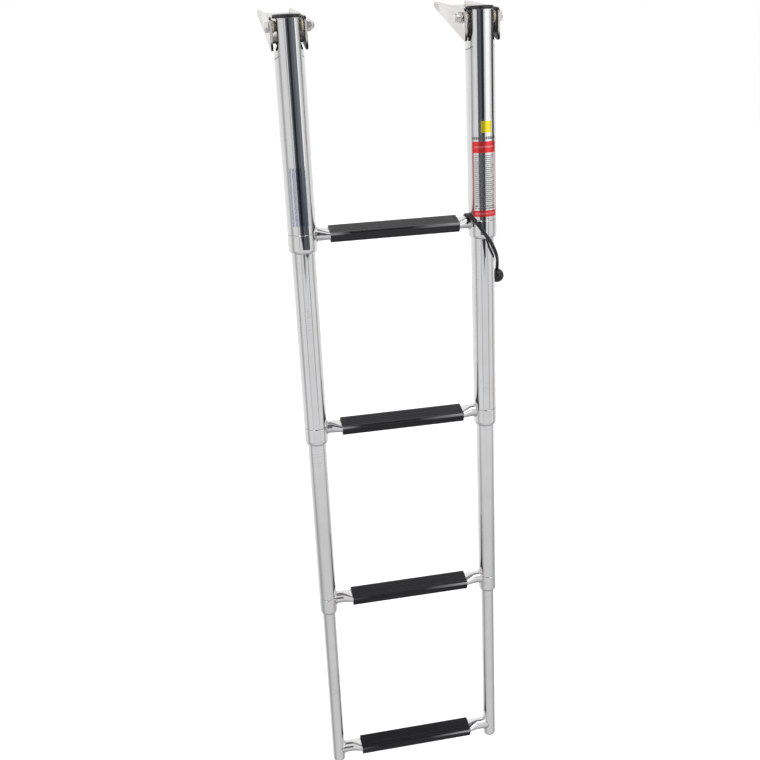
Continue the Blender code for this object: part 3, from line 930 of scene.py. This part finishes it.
def make_nut(side, material, nylon):
    """Lock nut: a hexagon, a round crown and a nylon insert."""
    x, out, phase = RAIL_X[side], SIDES[side], NUT_TURN[side]
    seat, height = EAR_OUTER + GAP, 0.008
    corner, limit = HEX_WIDTH * 0.5774, hexagon(0, phase)
    rings = [cross_circle(x - out * seat, HEX_WIDTH * 0.47, 48, phase)]
    rings += [hexagon(x - out * (seat + depth), phase) for depth in (0.0005, 0.0050)]
    crown = [(0.0054, corner * 0.955), (0.0058, corner * 0.90), (0.0061, HEX_WIDTH * 0.475)]
    crown += [(height - back, HEX_WIDTH * share) for back, share in
              ((0.0008, 0.455), (0.0002, 0.43), (0.0, 0.40), (0.0, 0.385), (0.0012, 0.385))]
    for depth, radius in crown + [(height - 0.0012, PIN_BORE), (0.0, PIN_BORE)]:
        around = cross_circle(x - out * (seat + depth), radius, 48, phase)
        rings.append([(px, *min_point(py, pz, hy, hz))
                      for (px, py, pz), (_, hy, hz) in zip(around, limit)])
    nut = skin(f"{side}_hinge_nut", rings, closed=True, sharp=25)
    place(nut, material, "brackets", "bolt_steel", f"{side}_lock_nut")

    wide, slim = HEX_WIDTH * 0.375, PIN_BORE + 0.0003
    insert = skin(f"{side}_nut_insert",
                  [cross_circle(x - out * (seat + height - back), radius, 48) for back, radius in
                   ((0.0011, wide), (0.0003, wide), (0.0001, HEX_WIDTH * 0.36),
                    (0.0001, slim), (0.0011, slim))], closed=True)
    place(insert, nylon, "brackets", "nylon")


def bush_nylon(side):
    """Cream nylon, with painted shade on the narrow part that runs against the tube."""
    mat, tree, shader = plastic(f"{side}_hinge_nylon", *NYLON)
    away = apart(tree, xyz(tree)[0], RAIL_X[side])
    # Painted shade: the narrow barrel beside the tube is darkened in colour.
    recess_shade = remap(tree, away, BUSH_STEP - 0.0003, BUSH_STEP + 0.0003, 0.9, 0.0)
    overlay(tree, shader, recess_shade, (0.055, 0.045, 0.038))
    return mat


def make_hinge_bush(side, where, material):
    """A flanged bush: the wide flange against the ear, the narrow barrel against the tube."""
    low, high = box(f"{side}_hinge_bush_{where}")
    radius, bore, edge = (high.z - low.z) / 2, PIN_BORE, 0.0005
    barrel = radius * 0.82
    outward = 1 if low.x > RAIL_X[side] else -1
    near, far = (low.x, high.x) if outward > 0 else (high.x, low.x)
    step = RAIL_X[side] + outward * BUSH_STEP
    profile = [(near, bore), (near, barrel - edge), (near + outward * edge, barrel),
               (step, barrel), (step, radius - edge), (step + outward * edge, radius),
               (far - outward * edge, radius), (far, radius - edge), (far, bore)]
    if outward < 0:
        profile.reverse()
    bush = skin(f"{side}_hinge_washer_{where}", [cross_circle(x, r) for x, r in profile],
                closed=True)
    place(bush, material, "brackets", "nylon", f"{side}_hinge_bush_{where}")


# ---- label

LABEL_TOP, PRINT_TOP, LABEL_BOTTOM = -0.1245, -0.1525, -0.2507
LABEL_LEFT, LABEL_RIGHT = radians(-55), radians(50)
PANEL = (-0.1415, -0.1268)
DASH_ROW = (-0.1503, -0.1466)
TOP_BAND_FOOT, LOW_BAND_TOP = -0.1673, -0.2424
BAR_FIELD, BAR_PITCH = (-0.2335, -0.1695), 0.00262
BOLD_ROWS = ((-0.2376, -0.2353), (-0.2403, -0.2388))
PALE_ROWS = ((-0.1607, -0.1585), (-0.2474, -0.2456))
FILM, INK, YELLOW = (0.79, 0.79, 0.80), (0.06, 0.06, 0.065), (0.80, 0.68, 0.03)
RED, PALE_RED = (0.70, 0.045, 0.05), (0.92, 0.45, 0.45)


def label_material():
    """Clear film printed with a plain panel, coloured bands, side rules and plain bars."""
    mat, tree, shader = new_material("label_film", FILM, 0.08, 0.95)
    x, y, z = xyz(tree)
    turn = turn_of(tree, minus(tree, x, RAIL_X["right"]), y)
    row = math(tree, "DIVIDE", minus(tree, z, LABEL_BOTTOM), BAR_PITCH)
    row_number = math(tree, "FLOOR", row)
    spread = node(tree, "CombineXYZ", in0=times(tree, turn, 16.0),
                  in1=times(tree, row_number, 7.31)).outputs[0]

    def breaks(scale, low, detail=2.0):
        """Uneven gaps along the bars."""
        made = node(tree, "TexNoise", Vector=spread, Scale=scale, Detail=detail)
        return rise(tree, made.outputs[0], low, low + 0.04)

    def rows(*spans):
        return largest(tree, *[between(tree, z, *span, 0.0002) for span in spans])

    red = largest(tree, rise(tree, z, TOP_BAND_FOOT - 0.00015, TOP_BAND_FOOT + 0.00015),
                  fall(tree, z, LOW_BAND_TOP - 0.00015, LOW_BAND_TOP + 0.00015),
                  fall(tree, turn, LABEL_LEFT + 0.085, LABEL_LEFT + 0.095),
                  rise(tree, turn, LABEL_RIGHT - 0.075, LABEL_RIGHT - 0.065))
    red = times(tree, red, fall(tree, z, PRINT_TOP - 0.0002, PRINT_TOP))

    length = node(tree, "TexWhiteNoise", {"noise_dimensions": "1D"}, W=row_number).outputs[0]
    bars = times(tree, between(tree, math(tree, "FRACT", row), 0.34, 0.74, 0.05),
                 breaks(1.6, 0.36), between(tree, z, *BAR_FIELD, 0.0003),
                 math(tree, "LESS_THAN", turn, remap(tree, length, 0.0, 1.0, 0.35, 0.80)))
    bold = times(tree, rows(*BOLD_ROWS), breaks(0.7, 0.42, 1.0))
    inside = between(tree, turn, LABEL_LEFT + 0.17, LABEL_RIGHT - 0.12, 0.01)
    dashes = between(tree, math(tree, "FRACT", times(tree, turn, 7.2)), 0.10, 0.90, 0.03)
    ink = largest(tree, times(tree, largest(tree, bars, bold), inside),
                  times(tree, rows(DASH_ROW), dashes))
    ink = times(tree, ink, 0.85)
    panel = times(tree, rows(PANEL), between(tree, turn, radians(-17), radians(27), 0.006))
    pale = times(tree, rows(*PALE_ROWS), breaks(2.6, 0.40), inside, 0.45)

    color = mix(tree, panel, mix(tree, ink, FILM, INK), YELLOW)
    color = mix(tree, pale, mix(tree, red, color, RED), PALE_RED)
    wear = noise(tree, 140, 4, 0.6)
    feed(shader, Base_Color=color, Roughness=remap(tree, wear, 0.3, 0.7, 0.05, 0.12),
         Metallic=remap(tree, largest(tree, red, ink, panel), 0.0, 1.0, 0.97, 0.62),
         Normal=bump(tree, wear, 0.06, 0.0002))
    return mat


def make_label():
    """A thin curved film: outer and inner faces joined by a rim."""
    x, radius = RAIL_X["right"], TUBE_R[0]
    rows, columns = 40, 64
    bm = bmesh.new()
    verts = []
    for lift in (0.00004, 0.00013):
        r = radius + lift
        grid = []
        for i in range(rows + 1):
            z = LABEL_BOTTOM + (LABEL_TOP - LABEL_BOTTOM) * i / rows
            turns = [LABEL_LEFT + (LABEL_RIGHT - LABEL_LEFT) * j / columns
                     for j in range(columns + 1)]
            grid.append([bm.verts.new((x + r * sin(t), -r * cos(t), z)) for t in turns])
        verts.append(grid)
    for grid in verts:
        for i in range(rows):
            for j in range(columns):
                bm.faces.new((grid[i][j], grid[i][j + 1], grid[i + 1][j + 1], grid[i + 1][j]))
    rim = [(0, j) for j in range(columns)] + [(i, columns) for i in range(rows)]
    rim += [(rows, j) for j in range(columns, 0, -1)] + [(i, 0) for i in range(rows, 0, -1)]
    for (a, b), (c, d) in zip(rim, rim[1:] + rim[:1]):
        bm.faces.new((verts[0][a][b], verts[0][c][d], verts[1][c][d], verts[1][a][b]))
    place(mesh_object("rail_label", bm), label_material(), "section_1", "polished_steel")


# ---- stage

def grey(value, warm=0.0):
    return (value * (1 + warm), value, value * (1 - warm))


# Levels round the studio: degrees from the front, brightness and warmth.
MIDDLE_RING = ((0, 0.74, -0.01), (70, 0.80, 0.01), (79, 0.56), (88, 0.42), (97, 0.60),
               (106, 0.84), (180, 1.0))
LOW_RING = ((0, 0.70), (52, 0.66), (72, 0.46), (88, 0.40), (104, 0.50), (128, 0.90), (180, 1.0))
HIGH_RING = ((0, 0.86, 0.03), (60, 0.88, 0.03), (120, 0.92, 0.02), (180, 1.0))
# Bright cards and dark flags: level or depth, then azimuth, half width, side softness,
# lowest and highest elevation and their softness, in degrees.
CARDS = ((1.2, (42.0, 14.0, 5.0, -7.5, 16.0, 2.0)),
         (8.0, (-31.0, 9.0, 3.0, 48.0, 62.0, 2.0)),
         (5.0, (34.0, 14.0, 5.0, 48.0, 60.0, 3.0)))
FLAGS = ((0.78, (-1.0, 6.0, 4.0, -12.8, 24.0, 0.8)),
         (0.38, (-30.6, 1.5, 4.0, -21.0, 12.0, 3.0)),
         (0.50, (33.0, 1.5, 4.5, -21.0, -9.5, 1.5)))


def make_world():
    """A pale studio; dark gaps in the surroundings give the steel its vertical bands."""
    world = bpy.data.worlds.new("studio")
    bpy.context.scene.world = world
    world.use_nodes = True
    tree = world.node_tree
    background = tree.nodes["Background"]
    x, y, z = xyz(tree, "Generated")
    azimuth = times(tree, turn_of(tree, x, y), 180 / pi)
    height = times(tree, math(tree, "ARCSINE", z), 180 / pi)
    around = math(tree, "DIVIDE", math(tree, "ABSOLUTE", azimuth), 180.0)

    def ramp(stops):
        made = node(tree, "ValToRGB", in0=around)
        elements = made.color_ramp.elements
        while len(elements) < len(stops):
            elements.new(0.5)
        for element, (where, *level) in zip(elements, stops):
            element.position = where / 180
            element.color = (*grey(*level), 1)
        return made.outputs[0]

    def above(low, high):
        return remap(tree, height, low, high, 0.0, 1.0, True)

    def below(low, high):
        return remap(tree, height, low, high, 1.0, 0.0, True)

    def patch(center, half, soft, low, high, edge):
        side = remap(tree, apart(tree, azimuth, center), half, half + soft, 1.0, 0.0, True)
        return times(tree, side, above(low - edge, low + edge), below(high - edge, high + edge))

    color = mix(tree, below(-30, -20), ramp(MIDDLE_RING), ramp(LOW_RING))
    color = mix(tree, above(18, 34), color, ramp(HIGH_RING))
    color = mix(tree, below(-56, -46), color, (0.42, 0.42, 0.43))
    color = mix(tree, above(66, 76), color, (0.22, 0.22, 0.23))
    for level, span in CARDS:
        color = mix(tree, patch(*span), color, grey(level))
    keep = 1.0
    for depth, span in FLAGS:
        keep = times(tree, keep, minus(tree, 1.0, times(tree, patch(*span), depth)))
    dark = node(tree, "CombineXYZ", in0=keep, in1=keep, in2=keep).outputs[0]
    shaded = node(tree, "Mix", {"data_type": "RGBA", "blend_type": "MULTIPLY"},
                  in0=1.0, in6=color, in7=dark).outputs[2]
    camera_ray = node(tree, "LightPath").outputs["Is Camera Ray"]
    tree.links.new(mix(tree, camera_ray, shaded, (1, 1, 1)), background.inputs["Color"])
    background.inputs["Strength"].default_value = 1.0


def sheet(name, corners):
    """One flat face."""
    mesh = bpy.data.meshes.new(name)
    mesh.from_pydata(corners, [], [(0, 1, 2, 3)])
    obj = bpy.data.objects.new(name, mesh)
    bpy.context.collection.objects.link(obj)
    return obj


def make_gel(name, start, end, low, high, shade):
    """A smoked sheet seen only in reflections."""
    gel = sheet(name, [(*start, low), (*end, low), (*end, high), (*start, high)])
    mat = bpy.data.materials.new(name)
    mat.use_nodes = True
    tree = mat.node_tree
    tree.nodes.clear()
    clear = node(tree, "BsdfTransparent", Color=(*shade, 1))
    tree.links.new(clear.outputs[0], node(tree, "OutputMaterial").inputs[0])
    gel.data.materials.append(mat)
    gel.visible_camera = gel.visible_diffuse = False
    gel.visible_shadow = gel.visible_transmission = False


def make_floor():
    reach, level = 9.0, box("left_tube_4")[0].z - 0.06
    floor = sheet("floor", [(x * reach, y * reach, level)
                            for x, y in ((-1, -1), (1, -1), (1, 1), (-1, 1))])
    mat, _, shader = new_material("floor", (0.92, 0.92, 0.92), 0.9, Emission_Strength=0.35)
    shader.inputs["Emission Color"].default_value = (1, 1, 1, 1)
    floor.data.materials.append(mat)
    floor.visible_glossy = False


def make_light():
    data = bpy.data.lights.new("softbox", "AREA")
    data.shape, data.size, data.size_y = "RECTANGLE", 1.6, 1.2
    data.energy = 12
    lamp = bpy.data.objects.new("softbox", data)
    lamp.location = (-0.9, -1.6, 1.3)
    aim = Vector((0, 0, -0.5)) - lamp.location
    lamp.rotation_euler = aim.to_track_quat("-Z", "Y").to_euler()
    lamp.visible_glossy = False
    bpy.context.collection.objects.link(lamp)


def repaint(material, name):
    """Give a CAD piece that is carried over its finished material."""
    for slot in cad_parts[name].material_slots:
        slot.material = material


def build():
    make_camera()
    strap_rubber = rubber("strap_rubber", (0.007, 0.007, 0.008), 0.16, 900, 0.03)[0]
    bolts, _, bolt_shader = steel("bolt_steel_finish", "X", *BOLT_FINISH)
    bolt_shader.inputs["Metallic"].default_value = 0.72
    make_strap(strap_rubber, bolts)
    bpy.context.scene.view_settings.view_transform = "Standard"

    upright = steel("rail_steel", "Z", *RAIL_FINISH)[0]
    level = steel("rung_steel", "X", *RAIL_FINISH)[0]
    weld = weld_steel()
    nylon = plastic("bush_nylon", *NYLON)[0]
    cap = plastic("cap_plastic", (0.016, 0.017, 0.019), 0.35, 700, 0.2)[0]

    for side in SIDES:
        make_upper_tube(side, upper_rail_steel(side))
        make_cap(side, cap)
        make_bracket(side, bracket_steel(side))
        make_bolt(side, bolts)
        make_nut(side, bolts, nylon)
        for where in ("outer", "inner"):
            make_hinge_bush(side, where, bush_nylon(side))
        for number in (1, 2, 3):
            make_collar(side, number, upright)
            repaint(nylon, f"{side}_collar_bush_{number}")
        for number in (2, 3, 4):
            make_lower_tube(side, number, upright)
            repaint(nylon, f"{side}_slide_bush_{number}")
    for number in SECTIONS:
        make_rung(number, level, weld)
        make_tread(number, tread_rubber(number))
    make_label()

    make_world()
    make_gel("front_gel", (-0.3225, -0.55), (0.1757, -0.25), -0.360, 0.16, (0.15, 0.16, 0.18))
    make_gel("side_gel", (0.2725, -0.040), (0.2725, 0.018), -0.178, 0.12, (0.12, 0.12, 0.13))
    make_floor()
    make_light()


build()
